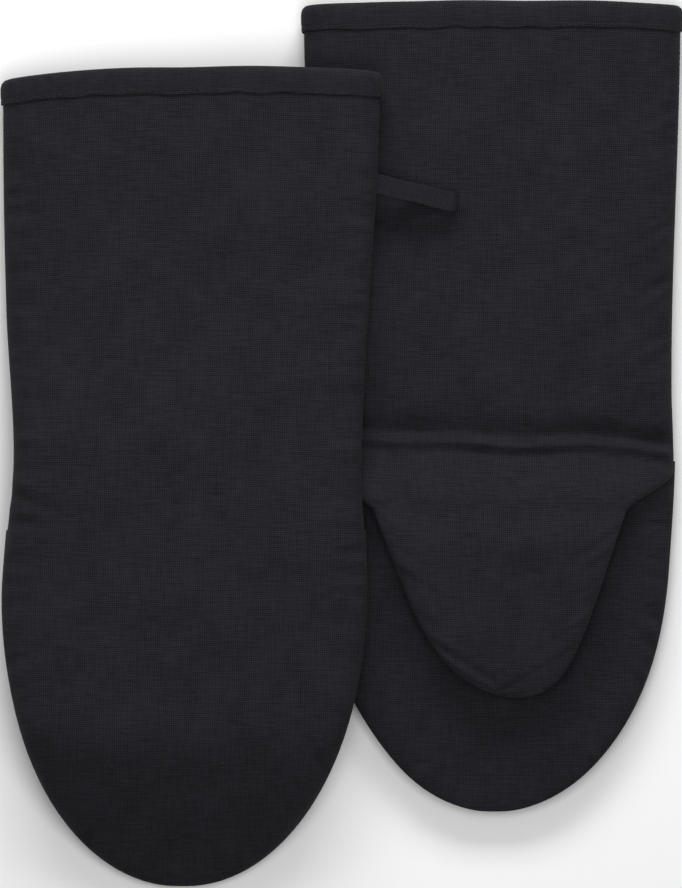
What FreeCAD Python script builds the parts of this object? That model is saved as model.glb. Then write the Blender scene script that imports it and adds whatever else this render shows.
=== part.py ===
import FreeCAD, Part
import math
import os

# A pair of padded heat resistant mitts, made to one pattern and lying as they are set down:
# the right one palm up on the table, the left one palm down with its inner side edge resting
# on the right one.  Every mitt is a sandwich of outer cloth, batting and lining.  Its palm
# side has a thumb pouch that lies flat on the fingers' pouch and opens like a beak.
#
# Units are millimetres.  In a mitt's own terms s runs from the cuff's edge to the fingertips,
# x runs across it from its middle line, and n stands off its side seam, positive towards the
# palm.

V = FreeCAD.Vector

# Driving dimensions of the pattern
LENGTH = 383.0          # cuff edge to fingertips, outside
CUFF_HALF = 89.0        # half of the flat width at the cuff's edge
WRIST_HALF = 82.5       # half of the flat width at the narrowest place
WRIST_AT = 183.0
HAND_HALF = 86.5        # half of the flat width where the hand is widest
HAND_AT = 245.0
ROUND_POWER = 2.2       # how full the rounded fingertip end is, 2 being an ellipse
CREASE_AT = 204.0       # where the cuff's palm side ends in the fold over the thumb
CROTCH_AT = 222.0       # where the thumb pouch and the fingers' pouch part
THUMB_LENGTH = 105.0    # crotch to the tip of the thumb pouch
THUMB_ROOT_HALF = 66.0
FOLD_HALF = 76.0        # half of the fold's width where it starts to rise off the cuff
THUMB_MID_HALF = 44.0
THUMB_OFFSET = 8.0      # the thumb pouch lies this far off the mitt's middle line
THUMB_CLEAR = 0.5       # between the fingers' pouch and the thumb pouch lying on it
THUMB_PILE = 8.0        # half of the thumb pouch's thickness

STATION_STEP = 14.0     # between the sections that a panel is drawn through
FOLD_STEP = 6.0         # the same over the fold, which is short
ROUND_SECTIONS = 12     # over the quarter turn in which a rounded end closes

# The sandwich, as distances in from the outside of the cloth
SHELL = (0.0, 0.8)
BATTING = (1.0, 3.6)
LINING = (3.8, 4.3)
LAYERS = {"shell": SHELL, "batting": BATTING, "lining": LINING}
WALL = LINING[1]
SEAM_GAP = 0.2          # each side of the side seam
HOLLOW_DIP = 0.2        # a layer's hollow reaches this far out of the layer's open side
BINDING_GAP = 0.3       # between the binding and the panels inside it
JOIN_GAP = 0.3          # between two panels that meet end to end

BINDING_WIDE = 11.5
BINDING_THICK = 0.8
BINDING_FOLD = 1.2      # cloth left beyond the raw edges inside the binding
STITCH_LONG = 2.2
STITCH_PITCH = 3.0
STITCH_THICK = 0.5
STITCH_SUNK = 0.4
BINDING_STITCH_AT = 10.0

LOOP_AT = 53.0          # the hanging loop leaves the side seam this far below the cuff's edge
LOOP_LONG = 38.0
LOOP_WIDE = 9.2
LOOP_PLY = 0.9
LOOP_EYE = 6.0          # clear height between its two plies at the fold
LOOP_ROOT = 0.4         # clear height between the plies at the seam
LOOP_CLEAR = 1.6        # from the seam's edge to the start of the loop's plies
LOOP_SLANT = 13.0       # degrees that it leans towards the fingertips
LOOP_DROOP = {"right": 8.5, "left": 10.5}    # degrees below level, to lie on what is under it
LOOP_STITCH_IN = 1.4


def smooth(values, s):
    """The value at s of a smooth step by step run through (s, value) pairs."""
    if s <= values[0][0]:
        return values[0][1]
    for (s0, v0), (s1, v1) in zip(values, values[1:]):
        if s <= s1:
            t = (s - s0) / (s1 - s0)
            return v0 + (v1 - v0) * t * t * (3.0 - 2.0 * t)
    return values[-1][1]


class Mitt:
    """How one mitt lies: where its cuff is, which way its palm faces and how full it is."""

    def __init__(self, name, cuff_x, cuff_y, palm, back_high, cuff_high, finger_high, back_full,
                 palm_full, lift, roll, lean):
        self.name = name
        self.cuff_x = cuff_x
        self.cuff_y = cuff_y
        self.palm = palm                # +1 with the palm up, -1 with the palm down
        self.back_high = back_high      # seam to the outside of the back
        self.cuff_high = cuff_high      # seam to the outside of the palm side at the cuff
        self.finger_high = finger_high  # the same over the fingers
        self.back_full = back_full      # how square each side's section is, 0 to 1
        self.palm_full = palm_full
        self.lift = lift                # height of the seam over the table, along s
        self.roll = roll                # rise of the seam per millimetre of x, along s
        self.lean = lean                # sideways drift of the middle line, along s

    def point(self, x, s, n):
        z = smooth(self.lift, s) + smooth(self.roll, s) * x + self.palm * n
        return V(self.cuff_x + smooth(self.lean, s) + x, self.cuff_y - s, z)

    @property
    def thumb_x(self):
        return self.palm * THUMB_OFFSET

    @property
    def thumb_mid(self):
        """Distance from the seam to the middle of the thumb pouch's thickness."""
        return self.finger_high + THUMB_CLEAR + THUMB_PILE


RIGHT = Mitt("right", 71.6, 206.9, 1, 9.0, 13.0, 11.0, 0.85, 0.45,
             lift=[(0.0, 10.25), (LENGTH, 10.25)],
             roll=[(0.0, 0.0), (LENGTH, 0.0)],
             lean=[(0.0, 0.0), (LENGTH, 1.5)])
LEFT = Mitt("left", -70.9, 174.9, -1, 14.0, 9.0, 9.0, 0.45, 0.85,
            lift=[(0.0, 22.1), (90.0, 23.4), (200.0, 28.7), (300.0, 28.3), (LENGTH, 4.8)],
            roll=[(0.0, 0.145), (90.0, 0.12), (200.0, 0.045), (300.0, 0.01), (LENGTH, 0.0)],
            lean=[(0.0, 0.0), (LENGTH, -5.0)])


def half_width(s, inset=0.0):
    """Half of the mitt's width at s, taken in by inset all round."""
    if s <= HAND_AT:
        widths = [(-5.0, CUFF_HALF), (0.0, CUFF_HALF), (WRIST_AT, WRIST_HALF), (HAND_AT, HAND_HALF)]
        return smooth(widths, s) - inset
    share = min(1.0, (s - HAND_AT) / (LENGTH - inset - HAND_AT))
    return (HAND_HALF - inset) * (1.0 - share ** ROUND_POWER) ** (1.0 / ROUND_POWER)


def end_fullness(s, inset=0.0):
    """How much of its full height the pouch keeps towards the fingertips."""
    share = max(0.0, min(1.0, (s - HAND_AT) / (LENGTH - inset - HAND_AT)))
    return (1.0 - share ** 3.0) ** (1.0 / ROUND_POWER)


def thumb_half_width(s, inset=0.0):
    """Half of the thumb pouch's width, wide at the crotch and round at its tip."""
    tip = CROTCH_AT + THUMB_LENGTH - inset
    share = min(1.0, (s - CROTCH_AT) / (tip - CROTCH_AT))
    taper = THUMB_ROOT_HALF + (THUMB_MID_HALF - THUMB_ROOT_HALF) * math.sin(share * math.pi / 2.0)
    return (taper - inset) * (1.0 - max(0.0, share) ** 3.2) ** 0.5


def thumb_fullness(s, inset=0.0):
    tip = CROTCH_AT + THUMB_LENGTH - inset
    share = max(0.0, min(1.0, (s - CROTCH_AT) / (tip - CROTCH_AT)))
    return (1.0 - share ** 3.0) ** 0.5


def crown_poles(half, high, full, dip=0.0):
    """Control points, as (x, n), of a domed section whose two feet stand dip below n = 0."""
    shoulder = 0.55 + 0.38 * full
    spread = 0.66 + 0.28 * full
    side = [(half, -dip), (half, shoulder * high), (spread * half, high)]
    return side + [(0.0, high)] + [(-x, n) for x, n in reversed(side)]


def spline_form(count):
    """Degree, knots and multiplicities of a clamped B-spline on count control points."""
    degree = min(3, count - 1)
    spans = count - degree
    knots = [float(k) for k in range(spans + 1)]
    return degree, knots, [degree + 1] + [1] * (spans - 1) + [degree + 1]


def spline_edge(points):
    """The B-spline on the given control points, or the straight line between two."""
    degree, knots, mults = spline_form(len(points))
    curve = Part.BSplineCurve()
    curve.buildFromPolesMultsKnots(points, mults, knots, False, degree)
    return curve.toShape()


def skin(rows, runs):
    """The face carried smoothly through rows of control points that stand at runs along it."""
    lines = []
    for points in zip(*rows):
        line = Part.BSplineCurve()
        line.interpolate(Points=list(points), Parameters=runs)
        lines.append(line)
    degree, knots, mults = spline_form(len(lines))
    along = lines[0]
    surface = Part.BSplineSurface()
    surface.buildFromPolesMultsKnots([line.getPoles() for line in lines], mults, along.getMultiplicities(),
                                     knots, along.getKnots(), False, False, degree, along.Degree)
    return surface.toShape()


def solid_through(sections, runs):
    """The solid through sections that stand at runs.  A section is a closed ring of edges, each
    given by its control points."""
    faces = [skin(rows, runs) for rows in zip(*sections)]
    for section in (sections[0], sections[-1]):
        faces.append(Part.Face(Part.Wire([spline_edge(points) for points in section])))
    solid = Part.Solid(Part.Shell(faces))
    if solid.Volume < 0.0:
        solid.reverse()
    return solid


def dome_section(mitt, s, centre, half, foot, high, full, side, dip):
    """A closed section at s: a dome standing off n = foot, to the palm (side +1) or the back (-1)."""
    crown = [mitt.point(centre + x, s, foot + side * n) for x, n in crown_poles(half, high, full, dip)]
    return [crown, [crown[-1], crown[0]]]


def ring_section(mitt, s, inset):
    """The whole section of the cuff at s, both sides together, taken in by inset."""
    half = half_width(s, inset)
    palm = [mitt.point(x, s, n) for x, n in crown_poles(half, mitt.cuff_high - inset, mitt.palm_full)]
    back = [mitt.point(-x, s, -n) for x, n in crown_poles(half, mitt.back_high - inset, mitt.back_full)]
    return [palm, back]


def evenly(start, end, step):
    """Places from one step before start to just short of end, all of them about step apart."""
    count = max(1, int(round((end - start) / step)))
    return [start + (end - start) * i / count for i in range(-1, count)]


def closing_up(start, end):
    """Where a rounded end's sections stand: pairs of the distance run over it and of s, which
    closes up towards the end, the last one just short of it."""
    turns = [math.radians(90.0 * i / ROUND_SECTIONS) for i in range(ROUND_SECTIONS)]
    turns.append(math.radians(90.0 * (1.0 - 0.5 / ROUND_SECTIONS)))
    reach = end - start
    return [(start + reach * a, start + reach * math.sin(a)) for a in turns]


def slab(mitt, start, end):
    """Everything of a mitt that lies between two places along s."""
    size = 4.0 * CUFF_HALF
    return Part.makeBox(size, end - start, size, V(mitt.cuff_x - size / 2.0, mitt.cuff_y - end, -size / 2.0))


def pouch_solid(mitt, side, start, high, full, inset, dip):
    """One side of the hand's pouch, solid from the seam out, to the fingertips."""
    places = [(s, s) for s in evenly(start, HAND_AT, STATION_STEP)] + closing_up(HAND_AT, LENGTH - inset)
    sections = []
    for _, s in places:
        tall = (high - SEAM_GAP - inset) * end_fullness(s, inset)
        sections.append(dome_section(mitt, s, 0.0, half_width(s, inset), side * SEAM_GAP, tall, full,
                                     side, dip))
    return solid_through(sections, [run for run, _ in places])


def cuff_solid(mitt, start, end, inset, dip):
    """The palm side of the cuff, solid from the seam out."""
    high = mitt.cuff_high - SEAM_GAP - inset
    places = evenly(start, end, STATION_STEP) + [end, end + STATION_STEP]
    sections = [dome_section(mitt, s, 0.0, half_width(s, inset), SEAM_GAP, high, mitt.palm_full, 1, dip)
                for s in places]
    return solid_through(sections, places)


def fold_solid(mitt, start, end, inset, dip):
    """The fold over the thumb's root: the palm side carried on, and a dome that climbs from it
    to the top of the thumb pouch."""
    top = mitt.thumb_mid + THUMB_PILE
    places = evenly(start, end, FOLD_STEP) + [end, end + FOLD_STEP]
    level, dome = [], []
    for s in places:
        rise = smooth([(start, 0.0), (end, 1.0)], s)
        high = mitt.cuff_high + (mitt.finger_high - mitt.cuff_high) * rise - SEAM_GAP - inset
        level.append(dome_section(mitt, s, 0.0, half_width(s, inset), SEAM_GAP, high, mitt.palm_full,
                                  1, dip))
        high = mitt.cuff_high - 1.0 + (top - mitt.cuff_high + 1.0) * rise - SEAM_GAP - inset
        half = FOLD_HALF + (THUMB_ROOT_HALF - FOLD_HALF) * rise - inset
        dome.append(dome_section(mitt, s, mitt.thumb_x * rise, half, SEAM_GAP, high, 0.3, 1, dip))
    return solid_through(level, places).fuse(solid_through(dome, places))


def thumb_solid(mitt, side, start, inset, dip):
    """One half of the thumb pouch, above (side +1) or below (-1) its own side seam."""
    middle = CROTCH_AT + 0.45 * THUMB_LENGTH
    places = [(s, s) for s in evenly(start, middle, STATION_STEP)]
    places += closing_up(middle, CROTCH_AT + THUMB_LENGTH - inset)
    sections = []
    for _, s in places:
        tall = (THUMB_PILE - SEAM_GAP - inset) * thumb_fullness(s, inset)
        sections.append(dome_section(mitt, s, mitt.thumb_x, thumb_half_width(s, inset),
                                     mitt.thumb_mid + side * SEAM_GAP, tall, 0.5, side, dip))
    return solid_through(sections, [run for run, _ in places])


def layered(mitt, start, end, solid_at):
    """The three layers of the panel from start to end.  solid_at(inset, dip) is the panel filled
    in, and it runs past both of them wherever the panel is open there."""
    kept = slab(mitt, start, end)
    made = {}
    for layer, (outer, inner) in LAYERS.items():
        filled = solid_at(outer, 0.0).common(kept)
        made[layer] = filled.cut(solid_at(inner, HOLLOW_DIP))
    return made


def panels(mitt):
    """Every panel of one mitt, as {node name: shape}."""
    fold_from, fold_to = CREASE_AT + JOIN_GAP, CROTCH_AT - JOIN_GAP
    thumb_from = CROTCH_AT + JOIN_GAP

    def back(inset, dip):
        return pouch_solid(mitt, -1, BINDING_FOLD, mitt.back_high, mitt.back_full, inset, dip)

    def cuff(inset, dip):
        return cuff_solid(mitt, BINDING_FOLD, CREASE_AT, inset, dip)

    def thumb_fold(inset, dip):
        return fold_solid(mitt, fold_from, fold_to, inset, dip)

    def finger_palm(inset, dip):
        return pouch_solid(mitt, 1, CROTCH_AT, mitt.finger_high, mitt.palm_full, inset, dip)

    def thumb_top(inset, dip):
        return thumb_solid(mitt, 1, thumb_from, inset, dip)

    def thumb_under(inset, dip):
        return thumb_solid(mitt, -1, thumb_from, inset, dip)

    reach = {back: (BINDING_FOLD, LENGTH + 1.0), cuff: (BINDING_FOLD, CREASE_AT),
             thumb_fold: (fold_from, fold_to), finger_palm: (CROTCH_AT, LENGTH + 1.0),
             thumb_top: (thumb_from, LENGTH), thumb_under: (thumb_from, LENGTH)}
    made = {}
    for panel, (start, end) in reach.items():
        for layer, shape in layered(mitt, start, end, panel).items():
            made[f"{panel.__name__}_{layer}"] = shape
    return made


def ring_solid(mitt, inset):
    """The cuff's first stretch with both sides together, filled in and taken in by inset."""
    places = [STATION_STEP * i for i in range(-1, 4)]
    return solid_through([ring_section(mitt, s, inset) for s in places], places)


def binding(mitt):
    """The bias strip folded over the cuff's raw edges, outside and inside, all round."""
    outside = ring_solid(mitt, -BINDING_THICK - BINDING_GAP).common(slab(mitt, 0.0, BINDING_WIDE))
    inside = ring_solid(mitt, WALL + BINDING_GAP + BINDING_THICK)
    wall = ring_solid(mitt, -BINDING_GAP).cut(ring_solid(mitt, WALL + BINDING_GAP))
    wall = wall.common(slab(mitt, BINDING_FOLD - BINDING_GAP, BINDING_WIDE + 1.0))
    return outside.cut(inside).cut(wall)


def section_points(mitt, s, inset, side, count):
    """Evenly numbered points round one side of the cuff's section."""
    half = half_width(s, inset)
    high = mitt.cuff_high if side > 0 else mitt.back_high
    full = mitt.palm_full if side > 0 else mitt.back_full
    points = [mitt.point(x, s, side * n) for x, n in crown_poles(half, high - inset, full)]
    edge = spline_edge(points)
    return edge.discretize(Number=count)


def bar(start, end, wide, thick, out):
    """A short flat thread from start to end, lying across the direction out."""
    along = end.sub(start)
    across = along.cross(out)
    across.normalize()
    up = across.cross(along)
    up.normalize()
    half = across * (wide / 2.0)
    corners = [start - half, start + half, start + half + up * thick, start - half + up * thick]
    face = Part.Face(Part.makePolygon(corners + corners[:1]))
    return face.extrude(along)


def stitch_row(points, out_at, long_share):
    """A thread on each stretch between points, as long as long_share of that stretch."""
    threads = []
    for i in range(len(points) - 1):
        a, b = points[i], points[i + 1]
        trim = b.sub(a) * ((1.0 - long_share) / 2.0)
        threads.append(bar(a + trim, b - trim, STITCH_THICK, STITCH_THICK, out_at(a, b)))
    return threads


def binding_stitching(mitt):
    """The row of topstitching near the binding's lower edge, on the palm side and on the back."""
    threads = []
    inset = -BINDING_THICK - BINDING_GAP + STITCH_SUNK
    for side in (1, -1):
        count = int(2.0 * CUFF_HALF / STITCH_PITCH)
        ring = section_points(mitt, BINDING_STITCH_AT, inset, side, count)
        middle = mitt.point(0.0, BINDING_STITCH_AT, 0.0)

        def outwards(a, b, middle=middle, side=side):
            up = V(0, 0, side * mitt.palm)
            away = (a + b) * 0.5 - middle
            return up if abs(away.x) < CUFF_HALF * 0.85 else away

        threads += stitch_row(ring[1:-1], outwards, STITCH_LONG / STITCH_PITCH)
    return Part.makeCompound(threads)


def loop_frame(mitt):
    """Where the loop leaves the side seam, the way it runs, across it, and up."""
    outwards = -mitt.palm
    root = mitt.point(outwards * (half_width(LOOP_AT) + LOOP_CLEAR), LOOP_AT, 0.0)
    slant = math.radians(LOOP_SLANT)
    droop = math.radians(LOOP_DROOP[mitt.name])
    along = V(outwards * math.cos(slant) * math.cos(droop), -math.sin(slant) * math.cos(droop),
              -math.sin(droop))
    across = V(math.sin(slant) * outwards, math.cos(slant), 0.0)
    across = across - along * across.dot(along)
    across.normalize()
    up = along.cross(across) * outwards
    return root, along, across, up


def loop_profile(frame, offset):
    """The folded strap's outline seen along its width, as points round the fold."""
    root, along, across, up = frame
    low = LOOP_ROOT / 2.0
    high = LOOP_EYE / 2.0
    turn_at = LOOP_LONG - high - LOOP_PLY
    upper = [(0.0, low + offset), (LOOP_LONG * 0.45, high + offset), (turn_at, high + offset)]
    tip = (turn_at + high + offset, 0.0)
    lower = [(d, -h) for d, h in reversed(upper)]
    return [root + along * d + up * h for d, h in upper + [tip] + lower]


def loop_outline(frame, offset):
    """Edges of one side of the strap: two straights up the ply, a half circle, and back."""
    p = loop_profile(frame, offset)
    straight = [Part.LineSegment(p[0], p[1]).toShape(), Part.LineSegment(p[1], p[2]).toShape()]
    bend = Part.Arc(p[2], p[3], p[4]).toShape()
    back = [Part.LineSegment(p[4], p[5]).toShape(), Part.LineSegment(p[5], p[6]).toShape()]
    return p, straight + [bend] + back


def hang_loop(mitt):
    """A strap folded in two, both its ends in the side seam."""
    frame = loop_frame(mitt)
    outer, outer_edges = loop_outline(frame, LOOP_PLY)
    inner, inner_edges = loop_outline(frame, 0.0)
    ends = [Part.LineSegment(outer[0], inner[0]).toShape(), Part.LineSegment(outer[-1], inner[-1]).toShape()]
    wire = Part.Wire(Part.__sortEdges__(outer_edges + inner_edges + ends))
    across = frame[2]
    face = Part.Face(wire)
    face.translate(across * (-LOOP_WIDE / 2.0))
    return face.extrude(across * LOOP_WIDE)


def hang_loop_stitching(mitt):
    """Two rows of stitches along the strap, near its edges, on its upper and its lower ply."""
    frame = loop_frame(mitt)
    across, up = frame[2], frame[3]
    profile = loop_profile(frame, LOOP_PLY - STITCH_SUNK)
    threads = []
    for row in (-1, 1):
        shift = across * (row * (LOOP_WIDE / 2.0 - LOOP_STITCH_IN))
        for start, end, out in ((profile[0], profile[1], 1), (profile[1], profile[2], 1),
                                (profile[6], profile[5], -1), (profile[5], profile[4], -1)):
            along = end - start
            count = int(along.Length / STITCH_PITCH)
            points = [start + along * (i / count) + shift for i in range(count + 1)]
            threads += stitch_row(points, lambda a, b, out=out: up * out, STITCH_LONG / STITCH_PITCH)
    return Part.makeCompound(threads)


def mitt_nodes(mitt):
    nodes = panels(mitt)
    nodes["cuff_binding"] = binding(mitt)
    nodes["cuff_binding_stitching"] = binding_stitching(mitt)
    nodes["hang_loop"] = hang_loop(mitt)
    nodes["hang_loop_stitching"] = hang_loop_stitching(mitt)
    return {f"{mitt.name}_{node}": shape for node, shape in nodes.items()}


def main():
    os.makedirs("parts", exist_ok=True)
    for mitt in (RIGHT, LEFT):
        for node, shape in mitt_nodes(mitt).items():
            solids = shape.Solids
            whole = solids[0] if len(solids) == 1 else Part.makeCompound(solids)
            box = whole.BoundBox
            print(f"{node:32s} solids {len(solids):4d} valid {whole.isValid()} volume {whole.Volume:10.1f} "
                  f"z {box.ZMin:6.2f} {box.ZMax:6.2f}")
            whole.exportStep(f"parts/{node}.step")


main()
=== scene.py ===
import math

import bpy
import bmesh
import numpy as np
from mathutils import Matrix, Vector


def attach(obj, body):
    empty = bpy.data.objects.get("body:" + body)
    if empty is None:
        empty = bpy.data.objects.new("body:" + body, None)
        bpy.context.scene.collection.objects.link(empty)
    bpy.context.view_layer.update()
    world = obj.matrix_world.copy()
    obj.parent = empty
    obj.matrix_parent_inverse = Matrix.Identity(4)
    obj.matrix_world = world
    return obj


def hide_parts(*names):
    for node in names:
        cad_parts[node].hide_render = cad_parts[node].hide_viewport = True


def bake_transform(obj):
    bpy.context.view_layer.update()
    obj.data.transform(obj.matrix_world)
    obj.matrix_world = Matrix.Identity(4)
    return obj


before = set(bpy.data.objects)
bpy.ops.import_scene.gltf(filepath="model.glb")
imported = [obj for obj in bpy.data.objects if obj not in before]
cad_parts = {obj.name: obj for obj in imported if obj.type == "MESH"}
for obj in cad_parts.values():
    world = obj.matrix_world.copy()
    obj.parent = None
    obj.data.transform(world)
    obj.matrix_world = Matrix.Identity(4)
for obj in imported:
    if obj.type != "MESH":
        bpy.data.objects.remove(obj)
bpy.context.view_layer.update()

# ------------------------------------------------------------------ the pattern, in millimetres
# s runs from the cuff's edge to the fingertips, x across the mitt, n off the side seam (to the palm).
MM = 0.001
LENGTH = 383.0
CUFF_HALF, WRIST_HALF, WRIST_AT = 89.0, 82.5, 183.0
HAND_HALF, HAND_AT = 86.5, 245.0
ROUND_POWER = 2.06
STRETCH = 1.012          # the stuffed mitts lie this much longer than their pattern
CROTCH_AT = 222.0
CORNER_AT = 214.0        # where the thumb's side seams leave the mitt's side seams
CORNER_RISE = 26.0       # they reach their full height, and the cloth has done its bending, this far on
THUMB_LENGTH = 105.0
THUMB_ROOT_HALF, THUMB_MID_HALF = 66.0, 41.5
THUMB_OFFSET = 8.0
THUMB_CLEAR, THUMB_PILE = 0.5, 8.0
SHELL = (0.0, 0.8)
BATTING = (1.4, 3.6)
LINING = (3.8, 4.3)
SEAM_GAP = 0.03
PADDING_SHORT = 0.9      # the padding and the lining stop this far from the seam
CROTCH_SHORT = 3.0       # and start this far past the fold between thumb and fingers
BINDING_WIDE = 11.5
LOOP_AT, LOOP_LONG, LOOP_WIDE, LOOP_PLY = 53.0, 38.0, 9.2, 0.9
LOOP_EYE, LOOP_ROOT, LOOP_CLEAR = 6.0, 0.4, 1.6
LOOP_SLANT = 13.0
LOOP_TUCKED = 4.0        # the strap's ends reach this far into the side seam
STITCH_PITCH, STITCH_LONG = 3.0, 2.2
STITCH_AT = 9.6          # the binding's topstitching, counted from the cuff's edge
STITCH_OUT, STITCH_IN = -0.86, 5.2      # its two sides' depths below the cover's surface

EDGE_FADE = 14.0         # waves die out over this distance from a seam
WAVES_GROW = 35.0        # and grow over this distance from the binding
TUCK_PULL, TUCK_REACH = 0.6, 0.9        # how far a seam draws the outline in, and over what height
RIDGE_AT, VALLEY_BACK = 205.2, 3.2      # the palm's crease: its ridge, and its valley behind that
FOLD_STEP = 8.0          # how much the palm side climbs at the fold, for fingers 11 mm high
FOLD_STEP_FOR = 11.0
SEEDS = {("left", "back"): 11, ("right", "back"): 41, ("left", "palm"): 23, ("right", "palm"): 53,
         ("left", "fingers"): 31, ("right", "fingers"): 61}
FINGERS_FULL, THUMB_FULL, FLAT_FULL = 0.45, 0.5, 0.85    # how square-shouldered a section is


def ease(a, b, x):
    t = np.clip((np.asarray(x, float) - a) / (b - a), 0.0, 1.0)
    return t * t * (3.0 - 2.0 * t)


def run(pairs, s):
    """A smooth step by step run through (s, value) pairs."""
    value = np.full_like(np.asarray(s, float), pairs[0][1])
    for (s0, v0), (s1, v1) in zip(pairs, pairs[1:]):
        value = value + (v1 - v0) * ease(s0, s1, s)
    return value


class Mitt:
    def __init__(self, name, cuff_x, cuff_y, palm, back_high, cuff_high, finger_high, back_full, palm_full,
                 lift, roll, lean, droop, arch, left_edge, right_edge, tip_in):
        self.name, self.cuff_x, self.cuff_y, self.palm = name, cuff_x, cuff_y, palm
        self.back_high, self.cuff_high, self.finger_high = back_high, cuff_high, finger_high
        self.back_full, self.palm_full = back_full, palm_full
        self.lift, self.roll, self.lean = lift, roll, lean
        self.droop = droop
        self.arch = arch                # how far the cuff's two corners hang back from its middle
        self.left_edge = left_edge      # how far the outline stands out from the pattern's, along s
        self.right_edge = right_edge
        self.tip_in = tip_in            # how far the fingertips are drawn back
        self.thumb_x = palm * THUMB_OFFSET
        self.thumb_mid = finger_high + THUMB_CLEAR + THUMB_PILE

    def place(self, p):
        """Points (x, s, n) in millimetres to the row frame in metres."""
        x, s, n = p[..., 0], p[..., 1], p[..., 2]
        corner = np.where(x < 0.0, self.arch[0], self.arch[1])
        back = corner * np.abs(x / CUFF_HALF) ** 2.4 * np.exp(-np.maximum(s, 0.0) / 45.0)
        share = np.minimum(np.abs(x) / np.maximum(half_width(np.maximum(s, 0.0)), 20.0), 1.1) ** 2
        spread = np.where(x < 0.0, -run(self.left_edge, s), run(self.right_edge, s)) * share
        out = np.empty(p.shape)
        out[..., 0] = self.cuff_x + run(self.lean, s) + x + spread
        out[..., 1] = (self.cuff_y - s - back + self.tip_in * ease(225.0, LENGTH, s)) * STRETCH
        out[..., 2] = run(self.lift, s) + run(self.roll, s) * x + self.palm * n
        return out * MM


RIGHT = Mitt("right", cuff_x=71.6, cuff_y=206.9, palm=1, back_high=9.0, cuff_high=13.0, finger_high=11.0,
             back_full=FLAT_FULL, palm_full=FINGERS_FULL,
             lift=[(0.0, 10.25), (LENGTH, 10.25)], roll=[(0.0, 0.0), (LENGTH, 0.0)],
             lean=[(0.0, 0.0), (LENGTH, 1.5)], droop=8.5, arch=(2.0, 1.5),
             left_edge=[(0.0, 0.5), (290.0, 0.0), (350.0, -2.6), (LENGTH, -1.0)],
             right_edge=[(0.0, 1.0), (190.0, 2.6), (262.0, -2.2), (330.0, -1.0), (LENGTH, -1.0)], tip_in=3.4)
LEFT = Mitt("left", cuff_x=-70.9, cuff_y=174.9, palm=-1, back_high=14.0, cuff_high=9.0, finger_high=9.0,
            back_full=FINGERS_FULL, palm_full=FLAT_FULL,
            lift=[(0.0, 22.1), (90.0, 23.4), (200.0, 28.7), (300.0, 28.3), (LENGTH, 4.8)],
            roll=[(0.0, 0.145), (90.0, 0.12), (200.0, 0.045), (300.0, 0.01), (LENGTH, 0.0)],
            lean=[(0.0, 0.0), (LENGTH, -5.0)], droop=10.5, arch=(5.0, 2.6),
            left_edge=[(0.0, 1.0), (110.0, 2.4), (185.0, -0.8), (240.0, -0.4), (300.0, -1.4), (LENGTH, 0.0)],
            right_edge=[(0.0, 0.5), (LENGTH, 0.5)], tip_in=0.0)


# ------------------------------------------------------------------ outlines and sections
def half_width(s, inset=0.0):
    s = np.asarray(s, float)
    straight = run([(0.0, CUFF_HALF), (WRIST_AT, WRIST_HALF), (HAND_AT, HAND_HALF)], s) - inset
    share = np.clip((s - HAND_AT) / (LENGTH - inset - HAND_AT), 0.0, 1.0)
    tip = (HAND_HALF - inset) * (1.0 - share ** ROUND_POWER) ** (1.0 / ROUND_POWER)
    return np.where(s <= HAND_AT, straight, tip)


def end_fullness(s, inset=0.0):
    share = np.clip((np.asarray(s, float) - HAND_AT) / (LENGTH - inset - HAND_AT), 0.0, 1.0)
    return (1.0 - share ** 3.0) ** (1.0 / ROUND_POWER)


def thumb_share(s, inset=0.0):
    return np.clip((np.asarray(s, float) - CROTCH_AT) / (THUMB_LENGTH - inset), 0.0, 1.0)


def thumb_edges(mitt, s, inset=0.0):
    """The thumb pouch's two edges: it leans to one side towards its tip and flares at its root."""
    share = thumb_share(s, inset)
    half = THUMB_ROOT_HALF + (THUMB_MID_HALF - THUMB_ROOT_HALF) * np.sin(share * math.pi / 2.0)
    half = (half - inset) * np.sqrt(1.0 - share ** 4.0)
    centre = mitt.thumb_x * (0.3 + 0.25 * share + 0.75 * share ** 7)
    wide = half_width(s, inset)
    into = ease(CORNER_AT + 4.0, CORNER_AT + 24.0, s)
    return -wide + into * (centre - half + wide), wide + into * (centre + half - wide)


def bspline(poles, t):
    """Points of the clamped cubic B-spline on poles, at t from 0 to 1."""
    spans = len(poles) - 3
    knots = np.concatenate([np.zeros(3), np.arange(spans + 1), np.full(3, spans)]).astype(float)
    t = np.clip(np.asarray(t, float) * spans, 0.0, spans - 1e-9)
    basis = [((t >= a) & (t < b)).astype(float) for a, b in zip(knots, knots[1:])]
    for degree in (1, 2, 3):
        step = []
        for i in range(len(basis) - 1):
            left, right = knots[i + degree] - knots[i], knots[i + degree + 1] - knots[i + 1]
            a = (t - knots[i]) / left * basis[i] if left > 0 else 0.0
            b = (knots[i + degree + 1] - t) / right * basis[i + 1] if right > 0 else 0.0
            step.append(a + b)
        basis = step
    return sum(b[:, None] * np.array(p, float) for b, p in zip(basis, poles))


def crown(full, count):
    """A domed section of half width 1 and height 1, from x = -1 to 1, closer points at its shoulders."""
    shoulder, spread = 0.55 + 0.38 * full, 0.66 + 0.28 * full
    side = [(-1, 0), (-1, shoulder), (-spread, 1)]
    poles = side + [(0, 1)] + [(-x, n) for x, n in reversed(side)]
    fine = bspline(poles, np.linspace(0, 1, 1500))
    steps = np.hypot(np.diff(fine[:, 0]) * 88.0, np.diff(fine[:, 1]) * 28.0)
    run_on = np.concatenate([[0], np.cumsum(steps)])
    at = np.linspace(0, run_on[-1], count)
    return np.interp(at, run_on, fine[:, 0]), np.interp(at, run_on, fine[:, 1])


CROWNS = {full: crown(full, 801) for full in (FINGERS_FULL, THUMB_FULL, FLAT_FULL)}


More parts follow.
